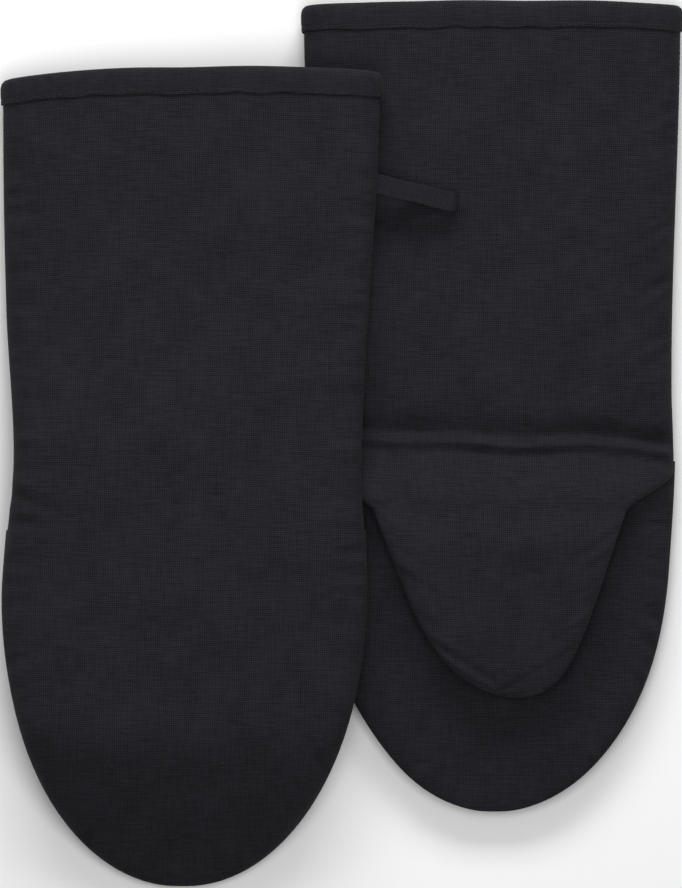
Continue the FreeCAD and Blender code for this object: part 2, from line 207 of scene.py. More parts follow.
def crown_height(full, q):
    xs, ns = CROWNS[full]
    return np.interp(np.clip(q, -1.0, 1.0), xs, ns)


def waves(x, y, size, seed, count=14):
    """Smooth noise of about unit size, the same each time: plane waves of random directions."""
    rng = np.random.default_rng(seed)
    total = np.zeros_like(np.asarray(x, float))
    for _ in range(count):
        angle, phase = rng.uniform(0, math.tau, 2)
        k = math.tau / (size * rng.uniform(0.7, 1.5))
        total = total + np.sin(k * (x * math.cos(angle) + y * math.sin(angle)) + phase)
    return total / math.sqrt(count / 2.0)


def round_the_edge(x, s, inset=0.0):
    """(place along the outline counted from the fingertip, distance in from the outline)."""
    ahead = np.maximum(s - HAND_AT, 0.0)
    long, wide = LENGTH - inset - HAND_AT, HAND_HALF - inset
    ring = ((np.abs(x) / wide) ** ROUND_POWER + (ahead / long) ** ROUND_POWER) ** (1.0 / ROUND_POWER)
    reach = np.hypot(x, ahead) / np.maximum(ring, 1e-6)
    inwards = np.where(s > HAND_AT, (1.0 - ring) * reach, half_width(s, inset) - np.abs(x))
    turn = np.arctan2(ahead / long, np.abs(x) / wide + 1e-9) * 118.0
    along = np.sign(x) * (118.0 * math.pi / 2.0 - np.where(s > HAND_AT, turn, s - HAND_AT))
    return along, np.maximum(inwards, 0.0)


def pucker(along, inwards, seed, high=0.45, near=4.5):
    """Small gathers beside a seam, none at the seam itself, gone 20 mm away."""
    size = waves(along, 0.0 * along, 11.0, seed) + 0.5 * waves(along, 0.0 * along, 5.5, seed + 1)
    place = inwards / near
    return high * size * place * np.exp(1.0 - place)


# ------------------------------------------------------------------ the four panels of a mitt
def palm_taper(s, inset=0.0):
    """How much of its height the fingers' palm side keeps, sloping all the way to the fingertips."""
    share = np.clip((np.asarray(s, float) - HAND_AT) / (LENGTH - inset - HAND_AT), 0.0, 1.0)
    return (1.0 - share ** 1.9) ** 0.58


def finger_top(mitt, x, s, inset=0.0):
    q = x / np.maximum(half_width(s, inset), 1e-6)
    return (mitt.finger_high - inset) * palm_taper(s, inset) * crown_height(mitt.palm_full, q)


def thumb_seam_height(mitt, s):
    return mitt.thumb_mid * ease(CORNER_AT, CORNER_AT + CORNER_RISE, s)


def thumb_top_height(mitt, s, inset=0.0):
    """The height of the palm panel's middle, up the fold and along the thumb."""
    share = thumb_share(s, inset)
    thumb = mitt.thumb_mid + (THUMB_PILE - inset) * np.sqrt(1.0 - share ** 3.0)
    step = FOLD_STEP * (mitt.finger_high / FOLD_STEP_FOR)
    cuff = mitt.cuff_high
    climb = run([(0.0, cuff), (190.0, cuff + 1.0), (212.0, cuff + 2.0), (234.0, cuff + 2.0 + step),
                 (256.0, mitt.thumb_mid + THUMB_PILE)], s) - inset
    return np.minimum(climb, thumb)


def crease(x, s):
    """The fold across the palm above the thumb: a slope down into a narrow valley, a sharp ridge,
    and a shorter slope beyond it."""
    across = x / WRIST_HALF
    right = np.maximum(across - 0.2, 0.0)
    left = np.maximum(-across - 0.6, 0.0)
    wander = 1.1 * np.sin(4.4 * across + 0.9) + 0.5 * np.sin(9.0 * across)
    ridge = RIDGE_AT + 9.0 * right ** 2 - 6.0 * left + wander
    valley = ridge - VALLEY_BACK
    deep = 5.0 + 1.6 * right + 2.5 * left - 1.3 * np.exp(-((across + 0.12) / 0.22) ** 2)
    slope = np.where(s < valley, 7.2 - 1.6 * right - 3.0 * left, 2.2)
    fold = -deep * np.exp(-np.abs((s - valley) / slope) ** 1.8)
    fold += 1.2 * np.exp(-((s - ridge) / 1.6) ** 2)
    beyond = 1.9 + 0.7 * np.sin(5.0 * across + 1.0)
    fold -= beyond * np.exp(-((s - ridge - 5.0) / 2.9) ** 2)
    return fold


def rows_to(start, straight_to, end, straight_rows, round_rows):
    even = np.linspace(start, straight_to, straight_rows, endpoint=False)
    turn = np.linspace(0.0, math.pi / 2.0, round_rows)
    return np.concatenate([even, straight_to + (end - straight_to) * np.sin(turn) * 0.9995])


def tuck(x, s, n_off, centre=0.0):
    """Draws the outline in a little at a seam, where the turned cloth dips between the two panels."""
    pull = TUCK_PULL * np.exp(-np.abs(n_off) / TUCK_REACH)
    ahead = np.maximum(s - HAND_AT, 0.0)
    gx, gs = (x - centre) / HAND_HALF ** 2, ahead / (LENGTH - HAND_AT) ** 2
    size = np.maximum(np.hypot(gx, gs), 1e-9)
    return x - pull * gx / size, s - pull * gs / size


def back_panel(mitt, inset, rows, cols, short):
    s = rows_to(0.6 + 0.3 * (inset > 0), HAND_AT, LENGTH - inset, int(rows * 0.62), int(rows * 0.38))
    q, g = crown(mitt.back_full, cols)
    x = half_width(s, inset)[:, None] * q[None, :]
    ss = np.repeat(s[:, None], cols, 1)
    n = (mitt.back_high - inset) * end_fullness(s, inset)[:, None] * g[None, :]
    along, inwards = round_the_edge(x, ss, inset)
    edge = np.clip(inwards / EDGE_FADE, 0.0, 1.0)
    seed = SEEDS[mitt.name, "back"]
    free = ease(BINDING_WIDE, BINDING_WIDE + WAVES_GROW, ss)
    n = n + edge * free * (0.55 * waves(x, ss, 85.0, seed) + 0.22 * waves(x, ss, 28.0, seed + 1))
    n = n + pucker(along, inwards, seed + 2) * free * np.clip(n / 6.0, 0.0, 1.0)
    if mitt.name == "left":
        n = n + side_wrinkles(x, ss)
    x, ss = tuck(x, ss, n)
    return np.stack([x, ss, -(np.maximum(n, short) + SEAM_GAP)], -1)


def side_wrinkles(x, s):
    """A few short folds at the wrist, where the cloth is drawn to the side seam."""
    total = np.zeros_like(x)
    folds = ((198.0, 0.30, 1.3, 15.0), (205.0, 0.12, -0.8, 12.0), (190.0, 0.42, -0.6, 11.0),
             (212.0, -0.10, 0.6, 13.0))
    for at, slope, deep, reach in folds:
        into = np.maximum(x + 84.0, 0.0)
        line = (s - at - slope * into) / 2.6
        total = total - deep * np.exp(-line ** 2) * np.exp(-((into - 7.0) / reach) ** 2)
    return total


def palm_panel(mitt, inset, rows, cols, short):
    """The palm side of the cuff, carried on over the fold to the tip of the thumb."""
    tip = CROTCH_AT + THUMB_LENGTH - inset
    turn_at = CROTCH_AT + 0.45 * THUMB_LENGTH
    s = rows_to(0.6 + 0.3 * (inset > 0), turn_at, tip, int(rows * 0.78), int(rows * 0.22))
    q, g = crown(mitt.palm_full, cols)
    low, high = thumb_edges(mitt, s, inset)
    x = (low + high)[:, None] / 2.0 + (high - low)[:, None] / 2.0 * q[None, :]
    ss = np.repeat(s[:, None], cols, 1)
    base = thumb_seam_height(mitt, s)[:, None]
    top = thumb_top_height(mitt, s, inset)[:, None]
    n = base + (top - base) * g[None, :]
    edge_x = np.minimum(x - low[:, None], high[:, None] - x)
    edge = np.clip(edge_x / EDGE_FADE, 0.0, 1.0) * np.clip((tip - ss) / EDGE_FADE, 0.0, 1.0)
    seed = SEEDS[mitt.name, "palm"]
    free = ease(BINDING_WIDE, BINDING_WIDE + WAVES_GROW, ss)
    n = n + edge * free * (0.5 * waves(x, ss, 80.0, seed) + 0.22 * waves(x, ss, 26.0, seed + 1))
    n = n + crease(x, ss) * np.clip(edge_x / 5.0, 0.12, 1.0) * np.clip((n - base) / 5.0, 0.0, 1.0)
    place = np.minimum(edge_x, (tip - ss) * 0.8)
    along = ss + 0.6 * np.abs(x)
    gathers = pucker(along * np.sign(x + 1e-9), place, seed + 2, 0.4) * np.clip((n - base) / 5.0, 0.0, 1.0)
    n = n + gathers * free
    pull = TUCK_PULL * np.exp(-np.abs(n - base) / TUCK_REACH) * np.sign(q)[None, :]
    x = x - pull * np.clip((high - low)[:, None] / 60.0, 0.0, 1.0)
    return np.stack([x, ss, np.maximum(n, base + short) + SEAM_GAP], -1)


def crotch_line(x):
    return CROTCH_AT - (CROTCH_AT - CORNER_AT) * np.clip(np.abs(x) / HAND_HALF, 0.0, 1.0) ** 3


def finger_panel(mitt, inset, rows, cols, short):
    start = CROTCH_AT + CROTCH_SHORT * (short > 0)
    s = rows_to(start, HAND_AT, LENGTH - inset, int(rows * 0.24), int(rows * 0.76))
    q, g = crown(mitt.palm_full, cols)
    x = half_width(s, inset)[:, None] * q[None, :]
    fade = np.clip((HAND_AT - s) / (HAND_AT - CROTCH_AT), 0.0, 1.0)[:, None]
    ss = s[:, None] - (CROTCH_AT - crotch_line(x)) * fade
    n = (mitt.finger_high - inset) * palm_taper(ss, inset) * g[None, :]
    along, inwards = round_the_edge(x, ss, inset)
    seed = SEEDS[mitt.name, "fingers"]
    edge = np.clip(inwards / EDGE_FADE, 0.0, 1.0) * ease(CROTCH_AT, CROTCH_AT + 25.0, ss)
    under = ease(0.0, 12.0, np.abs(x - mitt.thumb_x) - 38.0 + np.maximum(ss - 300.0, 0.0))
    n = n + edge * (0.3 * waves(x, ss, 70.0, seed) - 0.3) * np.clip(under, 0.15, 1.0)
    n = n + pucker(along, inwards, seed + 2) * np.clip(n / 6.0, 0.0, 1.0)
    x, ss = tuck(x, ss, n)
    return np.stack([x, ss, np.maximum(n, short) + SEAM_GAP], -1)


def under_panel(mitt, inset, rows, cols, short):
    """The side of the thumb pouch that lies against the fingers."""
    tip = CROTCH_AT + THUMB_LENGTH - inset
    turn_at = CROTCH_AT + 0.45 * THUMB_LENGTH
    start = CROTCH_AT + CROTCH_SHORT * (short > 0)
    s = rows_to(start, turn_at, tip, int(rows * 0.6), int(rows * 0.4))
    q, g = crown(THUMB_FULL, cols)
    fade = np.clip((turn_at - s) / (turn_at - CROTCH_AT), 0.0, 1.0)
    ss = np.repeat(s[:, None], cols, 1)
    for _ in range(3):
        low, high = thumb_edges(mitt, ss, inset)
        x = (low + high) / 2.0 + (high - low) / 2.0 * q[None, :]
        ss = s[:, None] - (CROTCH_AT - crotch_line(x)) * fade[:, None]
    low, high = thumb_edges(mitt, ss, inset)
    x = (low + high) / 2.0 + (high - low) / 2.0 * q[None, :]
    base = thumb_seam_height(mitt, ss)
    share = thumb_share(ss, inset)
    full = base - (THUMB_PILE - inset) * np.sqrt(1.0 - share ** 3.0) * g[None, :]
    rest_on = finger_top(mitt, x, ss) + 0.08 + 0.27 * ease(0.0, 8.0, ss - crotch_line(x))
    over = base + (thumb_top_height(mitt, ss) - base) * crown_height(mitt.palm_full, q)[None, :]
    lid = over - LINING[1] - 0.8
    thin = np.clip((lid - rest_on) / LINING[1], 0.15, 1.0)
    floor = rest_on + inset * thin
    n = 0.5 * (full + floor + np.sqrt((full - floor) ** 2 + 0.8 * ease(0.0, 8.0, ss - crotch_line(x))))
    n = np.maximum(n, floor)
    pull = TUCK_PULL * np.exp(-np.abs(n - base) / TUCK_REACH) * np.sign(q)[None, :]
    x = x - pull * np.clip((high - low) / 60.0, 0.0, 1.0)
    limit = base - short + 60.0 * (1.0 - np.abs(q))[None, :]
    return np.stack([x, ss, np.minimum(n, limit) - SEAM_GAP], -1)


# ------------------------------------------------------------------ meshes
def new_piece(name, verts, faces, uv=None):
    mesh = bpy.data.meshes.new(name)
    mesh.from_pydata([tuple(v) for v in verts], [], [tuple(f) for f in faces])
    if uv is not None:
        layer = mesh.uv_layers.new(name="cloth")
        index = np.empty(len(mesh.loops), np.int32)
        mesh.loops.foreach_get("vertex_index", index)
        layer.data.foreach_set("uv", np.asarray(uv, np.float32)[index].ravel())
    obj = bpy.data.objects.new(name, mesh)
    bpy.context.scene.collection.objects.link(obj)
    work = bmesh.new()
    work.from_mesh(mesh)
    bmesh.ops.recalc_face_normals(work, faces=work.faces)
    work.to_mesh(mesh)
    work.free()
    mesh.polygons.foreach_set("use_smooth", np.ones(len(mesh.polygons), bool))
    return obj


def grid_faces(rows, cols, start=0, flip=False):
    i, j = np.meshgrid(np.arange(rows - 1), np.arange(cols - 1), indexing="ij")
    a = start + i * cols + j
    quads = np.stack([a, a + 1, a + cols + 1, a + cols], -1).reshape(-1, 4)
    return quads[:, ::-1] if flip else quads


def layer_piece(name, outer, inner):
    """A closed sheet of cloth or padding between two grids of points."""
    rows, cols = outer.shape[:2]
    count = rows * cols
    verts = np.concatenate([outer.reshape(-1, 3), inner.reshape(-1, 3)])
    index = np.arange(count).reshape(rows, cols)
    rim = np.concatenate([index[0, :], index[1:, -1], index[-1, -2::-1], index[-2:0:-1, 0]])
    nxt = np.roll(rim, -1)
    sides = np.stack([rim, nxt, nxt + count, rim + count], -1)
    faces = np.concatenate([grid_faces(rows, cols), grid_faces(rows, cols, count, True), sides])
    across = np.linalg.norm(np.diff(outer, axis=1), axis=2)
    across = np.concatenate([np.zeros((rows, 1)), np.cumsum(across, 1)], 1)
    across = across - across[:, cols // 2][:, None]
    down = np.linalg.norm(np.diff(outer[:, cols // 2], axis=0), axis=1)
    down = np.repeat(np.concatenate([[0], np.cumsum(down)])[:, None], cols, 1)
    uv = np.stack([across, down], -1).reshape(-1, 2) * 10.0
    return new_piece(name, verts, faces, np.concatenate([uv, uv]))


def panel_pieces(mitt, label, panel, rows, cols):
    """The cover, padding and lining of one panel."""
    made = {}
    hidden = 1.0 if label == "palm" else 0.5
    layers = (("cover", SHELL, 1.0), ("padding", BATTING, hidden), ("liner", LINING, hidden))
    for layer, (a, b), share in layers:
        r, c = int(rows * share), int(cols * share) | 1
        short = 0.0 if layer == "cover" else PADDING_SHORT
        outer, inner = (mitt.place(panel(mitt, inset, r, c, short)) for inset in (a, b))
        made[layer] = layer_piece(f"{mitt.name}_{label}_{layer}", outer, inner)
    return made


# ------------------------------------------------------------------ binding, loop and thread
def cuff_ring(mitt, s, inset, count):
    """Points round the whole section of the cuff at s, taken in by inset."""
    half = float(half_width(s, inset))
    around = []
    for full, high, side in ((mitt.palm_full, mitt.cuff_high, 1), (mitt.back_full, mitt.back_high, -1)):
        xs, ns = CROWNS[full]
        x, n = xs * half, ns * (high - inset)
        if side < 0:
            x, n = x[::-1], -n[::-1]
        around.append(np.stack([x, np.full_like(x, s), n], -1)[:-1])
    ring = np.concatenate(around)
    ring = np.concatenate([ring, ring[:1]])
    steps = np.concatenate([[0], np.cumsum(np.linalg.norm(np.diff(ring, axis=0), axis=1))])
    at = np.linspace(0, steps[-1], count, endpoint=False)
    return np.stack([np.interp(at, steps, ring[:, k]) for k in range(3)], -1), steps[-1]


# The binding's section, as (height above the cover, distance from the cuff's edge): from the outer hem over
# the roll at the edge to the inner hem, and back along the side that touches the cuff.
BINDING_SECTION = [
    (0.05, BINDING_WIDE - 0.1), (0.55, BINDING_WIDE), (0.95, BINDING_WIDE - 0.5), (0.92, 10.3), (0.78, 9.6),
    (1.0, 8.6), (1.15, 6.5), (1.2, 4.0), (1.1, 2.0), (0.55, 0.2), (-0.7, -1.0), (-2.2, -1.35), (-3.7, -1.0),
    (-4.9, 0.2), (-5.35, 2.2), (-5.4, 6.0), (-5.15, 9.6), (-5.3, 10.6), (-5.1, BINDING_WIDE),
    (-4.6, BINDING_WIDE - 0.1), (-4.45, 8.0), (-4.3, 3.0), (-3.4, 0.9), (-2.2, 0.3), (-1.0, 0.9), (-0.1, 3.0),
    (-0.02, 8.0)]


def binding_piece(mitt):
    """Folded tape over the cuff's edge: a rounded roll at the edge and a hem drawn in by its stitches."""
    count = 300
    rings = []
    for k, (out, s) in enumerate(BINDING_SECTION):
        ring, _ = cuff_ring(mitt, s, -out, count)
        turn = np.arange(count) / count * math.tau
        wobble = waves(np.cos(turn) * 60.0, np.sin(turn) * 60.0, 16.0, 71 + k // 4)
        if s > 8.0 and out > 0:
            ring[:, 1] += 0.22 * wobble
        ring[:, 1] += 0.25 * waves(np.cos(turn) * 60.0, np.sin(turn) * 60.0, 55.0, 75)
        rings.append(ring)
    grid = mitt.place(np.stack(rings))
    rows = len(BINDING_SECTION)
    verts = grid.reshape(-1, 3)
    i, j = np.meshgrid(np.arange(rows), np.arange(count), indexing="ij")
    a, b = i * count + j, i * count + (j + 1) % count
    c, d = ((i + 1) % rows) * count + (j + 1) % count, ((i + 1) % rows) * count + j
    faces = np.stack([a, b, c, d], -1).reshape(-1, 4)
    return new_piece(f"{mitt.name}_binding", verts, faces)


def thread_bits(runs, thick=0.00042, long_share=STITCH_LONG / STITCH_PITCH):
    """Stitches along runs of (points, outward directions): short threads that dive in at both ends."""
    verts, faces = [], []
    sides, rings = 6, 7
    for points, outs in runs:
        for k in range(len(points) - 1):
            a, b = points[k], points[k + 1]
            along = b - a
            out = outs[k] - along * (outs[k] @ along) / (along @ along)
            out = out / np.linalg.norm(out)
            across = np.cross(along, out)
            across = across / np.linalg.norm(across)
            mid, reach = (a + b) / 2.0, along * long_share / 2.0
            start = len(verts)
            for r in range(rings):
                t = -1.0 + 2.0 * r / (rings - 1)
                fat = thick / 2.0 * math.sqrt(max(1.0 - t ** 4, 0.04))
                centre = mid + reach * t + out * thick * (0.28 - 0.75 * t ** 4)
                for m in range(sides):
                    turn = math.tau * m / sides
                    verts.append(centre + (across * math.cos(turn) * 1.15 + out * math.sin(turn)) * fat)
            for r in range(rings - 1):
                for m in range(sides):
                    p, q = start + r * sides + m, start + r * sides + (m + 1) % sides
                    faces.append((p, q, q + sides, p + sides))
            faces.append(tuple(start + m for m in range(sides)))
            faces.append(tuple(start + (rings - 1) * sides + m for m in reversed(range(sides))))
    return verts, faces


def binding_thread(mitt):
    runs = []
    for inset, sign in ((STITCH_OUT, 1.0), (STITCH_IN, -1.0)):
        _, length = cuff_ring(mitt, STITCH_AT, inset, 12)
        count = int(length / STITCH_PITCH)
        ring, _ = cuff_ring(mitt, STITCH_AT, inset, count)
        wide, _ = cuff_ring(mitt, STITCH_AT, inset - 1.0, count)
        ring, wide = mitt.place(ring), mitt.place(wide)
        nearest = np.array([wide[np.argmin(np.linalg.norm(wide - p, axis=1))] for p in ring])
        outs = (nearest - ring) * sign
        runs.append((np.concatenate([ring, ring[:1]]), np.concatenate([outs, outs[:1]])))
    verts, faces = thread_bits(runs)
    return new_piece(f"{mitt.name}_binding_thread", verts, faces)


def loop_axes(mitt):
    outwards = -mitt.palm
    root = mitt.place(np.array([outwards * (float(half_width(LOOP_AT)) + LOOP_CLEAR), LOOP_AT, 0.0]))
    slant, droop = math.radians(LOOP_SLANT), math.radians(mitt.droop)
    level = math.cos(droop)
    along = np.array([outwards * math.cos(slant) * level, -math.sin(slant) * level, -math.sin(droop)])
    across = np.array([math.sin(slant) * outwards, math.cos(slant), 0.0])
    across = across - along * (across @ along)
    across = across / np.linalg.norm(across)
    up = np.cross(along, across) * outwards
    return root, along, across, up


def loop_path(offset):
    """The strap's line seen along its width, from one end in the seam round the fold to the other."""
    high, low = LOOP_EYE / 2.0 + offset, LOOP_ROOT / 2.0 + offset
    turn_at = LOOP_LONG - LOOP_EYE / 2.0 - LOOP_PLY
    ds, hs = [], []
    for t in np.linspace(0, 1, 26):
        d = -LOOP_TUCKED + (turn_at + LOOP_TUCKED) * t
        ds.append(d)
        hs.append(low + (high - low) * float(ease(0.0, 19.0, d)) * (1.0 - 0.05 * math.sin(d * 0.2)))
    bend = [math.pi / 2.0 - math.pi * k / 14.0 for k in range(1, 14)]
    path = [(d, h) for d, h in zip(ds, hs)]
    path += [(turn_at + high * math.cos(a), high * math.sin(a)) for a in bend]
    path += [(d, -h) for d, h in reversed(list(zip(ds, hs)))]
    return np.array(path)


def loop_pieces(mitt):
    root, along, across, up = loop_axes(mitt)
    mid = loop_path(LOOP_PLY / 2.0)
    tangent = np.gradient(mid, axis=0)
    tangent = tangent / np.linalg.norm(tangent, axis=1)[:, None]
    normal = np.stack([-tangent[:, 1], tangent[:, 0]], -1)
    half, thick = LOOP_WIDE / 2.0, LOOP_PLY / 2.0
    brim, row_at = half - 0.35, half * 0.72
    full, pressed = thick * 0.92, thick * 0.72
    section = [(-brim, full), (-row_at, pressed), (0.0, thick), (row_at, pressed), (brim, full),
               (half, 0.25), (half, -0.25), (brim, -full), (row_at, -pressed), (0.0, -thick),
               (-row_at, -pressed), (-brim, -full), (-half, -0.25), (-half, 0.25)]
    rings, uv = [], []
    travelled = np.concatenate([[0], np.cumsum(np.linalg.norm(np.diff(mid, axis=0), axis=1))])
    for k, (d, h) in enumerate(mid):
        sway = 0.12 * math.sin(travelled[k] * 0.35)
        for w, t in section:
            p = (d + normal[k, 0] * t) * along + (h + normal[k, 1] * t) * up + (w + sway) * across
            rings.append(root + p * MM)
            uv.append((w / 100.0, travelled[k] / 100.0))
    rows, cols = len(mid), len(section)
    i, j = np.meshgrid(np.arange(rows - 1), np.arange(cols), indexing="ij")
    a, b = i * cols + j, i * cols + (j + 1) % cols
    faces = np.stack([a, b, b + cols, a + cols], -1).reshape(-1, 4).tolist()
    faces += [list(range(cols)), list(range((rows - 1) * cols, rows * cols))[::-1]]
    strap = new_piece(f"{mitt.name}_loop", rings, faces, uv)
    strap.modifiers.new("soften", "SUBSURF").render_levels = 2
    runs = []
    for row in (-1, 1):
        for side in (1.0, -1.0):
            points, outs = [], []
            steps = np.arange(3.0, travelled[-1] - 3.0, STITCH_PITCH * 0.8)
            for at in steps:
                d, h = (np.interp(at, travelled, mid[:, c]) for c in (0, 1))
                nd, nh = (np.interp(at, travelled, normal[:, c]) for c in (0, 1))
                lift = side * thick * 0.62
                p = (d + nd * lift) * along + (h + nh * lift) * up + row * (half - 1.4) * across
                points.append(root + p * MM)
                outs.append(side * (nd * along + nh * up))
            runs.append((np.array(points), np.array(outs)))
    verts, faces = thread_bits(runs, 0.00036, 0.74)
    thread = new_piece(f"{mitt.name}_loop_thread", verts, faces)
    return strap, thread


# ------------------------------------------------------------------ materials
def material(name):
    mat = bpy.data.materials.new(name)
    mat.use_nodes = True
    tree = mat.node_tree
    shader = tree.nodes["Principled BSDF"]
    return mat, tree, shader


class Net:
    """A short way to write node trees."""

    def __init__(self, tree):
        self.tree = tree

    def node(self, kind, **settings):
        made = self.tree.nodes.new(kind)
        for key, value in settings.items():
            setattr(made, key, value)
        return made

    def put(self, socket, value):
        if isinstance(value, bpy.types.NodeSocket):
            self.tree.links.new(value, socket)
        else:
            socket.default_value = value

    def math(self, how, *values):
        made = self.node("ShaderNodeMath", operation=how)
        for socket, value in zip(made.inputs, values):
            self.put(socket, value)
        return made.outputs[0]

    def vector(self, how, a, b):
        made = self.node("ShaderNodeVectorMath", operation=how)
        self.put(made.inputs[0], a)
        self.put(made.inputs[3 if how == "SCALE" else 1], b)
        return made.outputs[0]

    def noise(self, at, scale, detail=2.0, rough=0.5):
        made = self.node("ShaderNodeTexNoise")
        self.put(made.inputs["Vector"], at)
        made.inputs["Scale"].default_value = scale
        made.inputs["Detail"].default_value = detail
        made.inputs["Roughness"].default_value = rough
        return made.outputs["Fac"]

    def mix(self, share, a, b):
        made = self.node("ShaderNodeMix", data_type="RGBA")
        self.put(made.inputs[0], share)
        self.put(made.inputs[6], a)
        self.put(made.inputs[7], b)
        return made.outputs[2]

    def ramp(self, value, low, high, to_low=0.0, to_high=1.0):
        made = self.node("ShaderNodeMapRange", interpolation_type="SMOOTHSTEP")
        for socket, v in zip(made.inputs, (value, low, high, to_low, to_high)):
            self.put(socket, v)
        return made.outputs[0]


def woven(name, dark, light, pitch, slub, bump, rough=0.9, sheen=0.02, at="uv", height=0.3):
    """Plain weave: threads of the given pitch in millimetres, uneven thick threads, and faint wear."""
    mat, tree, shader = material(name)
    net = Net(tree)
    if at == "uv":
        source = net.node("ShaderNodeUVMap", uv_map="cloth").outputs[0]
        to_mm = 100.0
    else:
        source = net.node("ShaderNodeTexCoord").outputs["Object"]
        to_mm = 1000.0
    spot = net.vector("SCALE", source, to_mm)
    split = net.node("ShaderNodeSeparateXYZ")
    net.put(split.inputs[0], spot)
    drift = net.math("MULTIPLY", net.math("SUBTRACT", net.noise(spot, 0.035, 1.0), 0.5), pitch * 3.0)
    u = net.math("DIVIDE", net.math("ADD", split.outputs[0], drift), pitch)
    v = net.math("DIVIDE", net.math("ADD", split.outputs[1], drift), pitch)
    su = net.math("SINE", net.math("MULTIPLY", u, math.pi))
    sv = net.math("SINE", net.math("MULTIPLY", v, math.pi))
    warp = net.math("SQRT", net.math("ABSOLUTE", su))
    weft = net.math("SQRT", net.math("ABSOLUTE", sv))
    over = net.ramp(net.math("MULTIPLY", su, sv), -0.25, 0.25)
    thread = net.math("ADD", net.math("MULTIPLY", over, warp),
                      net.math("MULTIPLY", net.math("SUBTRACT", 1.0, over), weft))
    stretched = net.node("ShaderNodeMapping", vector_type="POINT")
    net.put(stretched.inputs[0], spot)
    stretched.inputs["Scale"].default_value = (0.10, 0.9, 0.9)
    weft_slub = net.noise(stretched.outputs[0], 1.0, 3.0, 0.6)
    upright = net.node("ShaderNodeMapping", vector_type="POINT")
    net.put(upright.inputs[0], spot)
    upright.inputs["Scale"].default_value = (0.9, 0.07, 0.9)
    warp_slub = net.noise(upright.outputs[0], 1.0, 2.0, 0.5)
    fibre = net.noise(spot, 4.0, 3.0, 0.6)
    patch = net.noise(spot, 0.045, 4.0, 0.55)
    tone = net.math("MULTIPLY", thread, 0.75)
    tone = net.math("ADD", tone, net.math("MULTIPLY", weft_slub, slub))
    tone = net.math("ADD", tone, net.math("MULTIPLY", warp_slub, slub * 0.45))
    tone = net.math("ADD", tone, net.math("MULTIPLY", fibre, 0.20))
    tone = net.math("ADD", tone, net.math("MULTIPLY", patch, 0.22))
    middle = 0.75 * 0.74 + (slub * 1.45 + 0.20 + 0.22) * 0.5
    share = net.ramp(tone, middle - 0.42, middle + 0.42)
    net.put(shader.inputs["Base Color"], net.mix(share, (*dark, 1.0), (*light, 1.0)))
    shader.inputs["Roughness"].default_value = rough
    shader.inputs["Specular IOR Level"].default_value = 0.1
    shader.inputs["Sheen Weight"].default_value = sheen
    shader.inputs["Sheen Roughness"].default_value = 0.5
    lumps = net.math("ADD", thread, net.math("MULTIPLY", weft_slub, 0.9))
    lumps = net.math("ADD", lumps, net.math("MULTIPLY", fibre, 0.35))
    relief = net.node("ShaderNodeBump")
    relief.inputs["Strength"].default_value = bump
    relief.inputs["Distance"].default_value = height * MM
    net.put(relief.inputs["Height"], lumps)
    net.put(shader.inputs["Normal"], relief.outputs[0])
    return mat


def felted(name):
    mat, tree, shader = material(name)
    net = Net(tree)
    spot = net.vector("SCALE", net.node("ShaderNodeTexCoord").outputs["Object"], 1000.0)
    fluff = net.noise(spot, 0.5, 6.0, 0.65)
    net.put(shader.inputs["Base Color"], net.mix(fluff, (0.56, 0.54, 0.48, 1.0), (0.80, 0.78, 0.73, 1.0)))
    shader.inputs["Roughness"].default_value = 0.95
    shader.inputs["Sheen Weight"].default_value = 0.2
    relief = net.node("ShaderNodeBump")
    relief.inputs["Strength"].default_value = 0.6
    relief.inputs["Distance"].default_value = 0.4 * MM
    net.put(relief.inputs["Height"], fluff)
    net.put(shader.inputs["Normal"], relief.outputs[0])
    return mat


THREAD_DARK, THREAD_LIGHT = (0.0060, 0.0057, 0.0072), (0.0190, 0.0182, 0.0226)


def thread_material(name):
    mat, tree, shader = material(name)
    net = Net(tree)
    spot = net.vector("SCALE", net.node("ShaderNodeTexCoord").outputs["Object"], 1000.0)
    twist = net.noise(spot, 3.0, 2.0)
    net.put(shader.inputs["Base Color"], net.mix(twist, (*THREAD_DARK, 1.0), (*THREAD_LIGHT, 1.0)))
    shader.inputs["Roughness"].default_value = 0.7
    shader.inputs["Specular IOR Level"].default_value = 0.2
    relief = net.node("ShaderNodeBump")
    relief.inputs["Strength"].default_value = 0.5
    relief.inputs["Distance"].default_value = 0.08 * MM
    net.put(relief.inputs["Height"], twist)
    net.put(shader.inputs["Normal"], relief.outputs[0])
    return mat


DARK, LIGHT = (0.0020, 0.0019, 0.0026), (0.0225, 0.0212, 0.0272)
canvas = woven("canvas", DARK, LIGHT, 1.0, 0.55, 0.55)
tape = woven("bias_tape", DARK, LIGHT, 0.9, 0.45, 0.5, at="object")
strap_cloth = woven("strap_cloth", DARK, LIGHT, 0.9, 0.4, 0.5)
lining_cloth = woven("lining_cloth", (0.020, 0.0195, 0.021), (0.045, 0.044, 0.047), 0.6, 0.3, 0.35)
batting = felted("batting")
sewing = thread_material("sewing_thread")


def dress(obj, mat):
    obj.data.materials.append(mat)


# ------------------------------------------------------------------ making it
LOOKS = {"cover": (canvas, "outer_cotton", "shell"), "padding": (batting, "batting", "batting"),
         "liner": (lining_cloth, "lining", "lining")}

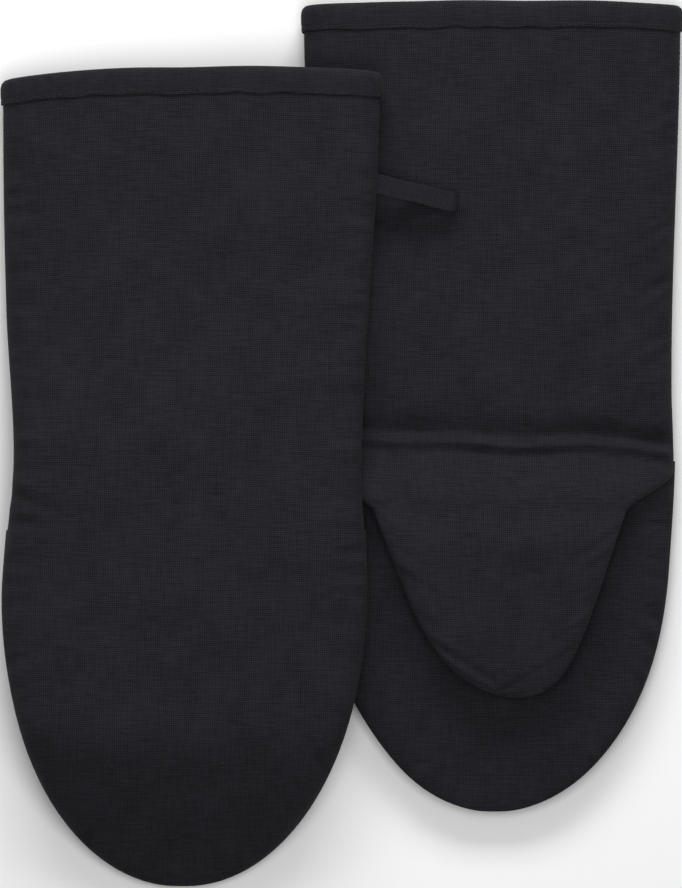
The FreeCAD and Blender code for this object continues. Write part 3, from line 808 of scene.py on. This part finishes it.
for mitt in (RIGHT, LEFT):
    hand, thumb, loop = f"{mitt.name}_mitt", f"{mitt.name}_thumb", f"{mitt.name}_loop"
    for label, panel, rows, cols, nodes, rides in (
            ("back", back_panel, 210, 121, ["back"], hand),
            ("palm", palm_panel, 230, 121, ["cuff", "thumb_fold", "thumb_top"], None),
            ("fingers", finger_panel, 110, 121, ["finger_palm"], hand),
            ("thumb_under", under_panel, 90, 81, ["thumb_under"], None)):
        for layer, piece in panel_pieces(mitt, label, panel, rows, cols).items():
            mat, slot, cad_layer = LOOKS[layer]
            dress(piece, mat)
            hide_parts(*[f"{mitt.name}_{node}_{cad_layer}" for node in nodes])
            if rides:
                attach(piece, rides)
            else:
                bend = mitt.place(np.array([[0.0, CORNER_AT, 0.0], [0.0, CORNER_AT + CORNER_RISE, 0.0]]))
                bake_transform(piece)
    edge = binding_piece(mitt)
    dress(edge, tape)
    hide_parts(f"{mitt.name}_cuff_binding")
    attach(edge, hand)
    edge_thread = binding_thread(mitt)
    dress(edge_thread, sewing)
    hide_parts(f"{mitt.name}_cuff_binding_stitching")
    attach(edge_thread, hand)
    strap, strap_thread = loop_pieces(mitt)
    dress(strap, strap_cloth)
    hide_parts(f"{mitt.name}_hang_loop")
    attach(strap, loop)
    dress(strap_thread, sewing)
    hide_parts(f"{mitt.name}_hang_loop_stitching")
    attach(strap_thread, loop)


# ------------------------------------------------------------------ floor, light and camera
FLOOR_HALF, FLOOR_BELOW = 3.0, 0.0004
WORLD_LIGHT = 0.28
AIM = Vector((0.0, -0.01, 0.02))


def floor():
    mesh = bpy.data.meshes.new("floor")
    half = FLOOR_HALF
    corners = [(-half, -half, 0), (half, -half, 0), (half, half, 0), (-half, half, 0)]
    mesh.from_pydata(corners, [], [(0, 1, 2, 3)])
    obj = bpy.data.objects.new("floor", mesh)
    bpy.context.scene.collection.objects.link(obj)
    obj.location.z = -FLOOR_BELOW
    mat, _, shader = material("floor")
    shader.inputs["Base Color"].default_value = (0.86, 0.86, 0.86, 1.0)
    shader.inputs["Roughness"].default_value = 0.9
    mesh.materials.append(mat)


def area_light(name, at, size, power):
    data = bpy.data.lights.new(name, "AREA")
    data.shape = "RECTANGLE"
    data.size, data.size_y = size
    data.energy = power
    obj = bpy.data.objects.new(name, data)
    bpy.context.scene.collection.objects.link(obj)
    obj.location = at
    obj.rotation_euler = (AIM - Vector(at)).to_track_quat("-Z", "Y").to_euler()
    return obj


floor()
area_light("key", (0.0, 1.4, 0.85), (1.2, 0.5), 24.0)
area_light("overhead", (0.03, -0.05, 0.85), (0.5, 0.5), 3.9)
world = bpy.context.scene.world or bpy.data.worlds.new("World")
bpy.context.scene.world = world
world.use_nodes = True
world.node_tree.nodes["Background"].inputs[0].default_value = (1.0, 1.0, 1.0, 1.0)
world.node_tree.nodes["Background"].inputs[1].default_value = WORLD_LIGHT

FRAME_HIGH = 0.4193      # metres that the picture's longer side takes in
TOP_HIGH = 0.028         # the height at which it takes in that much
CENTRE_Y = 0.0006
LENS, SENSOR = 200.0, 36.0
camera_data = bpy.data.cameras.new("camera")
camera_data.lens, camera_data.sensor_width = LENS, SENSOR
camera = bpy.data.objects.new("camera", camera_data)
bpy.context.scene.collection.objects.link(camera)
camera.location = (0.0, CENTRE_Y, TOP_HIGH + FRAME_HIGH * LENS / SENSOR)
bpy.context.scene.camera = camera
bpy.context.scene.view_settings.view_transform = "Standard"
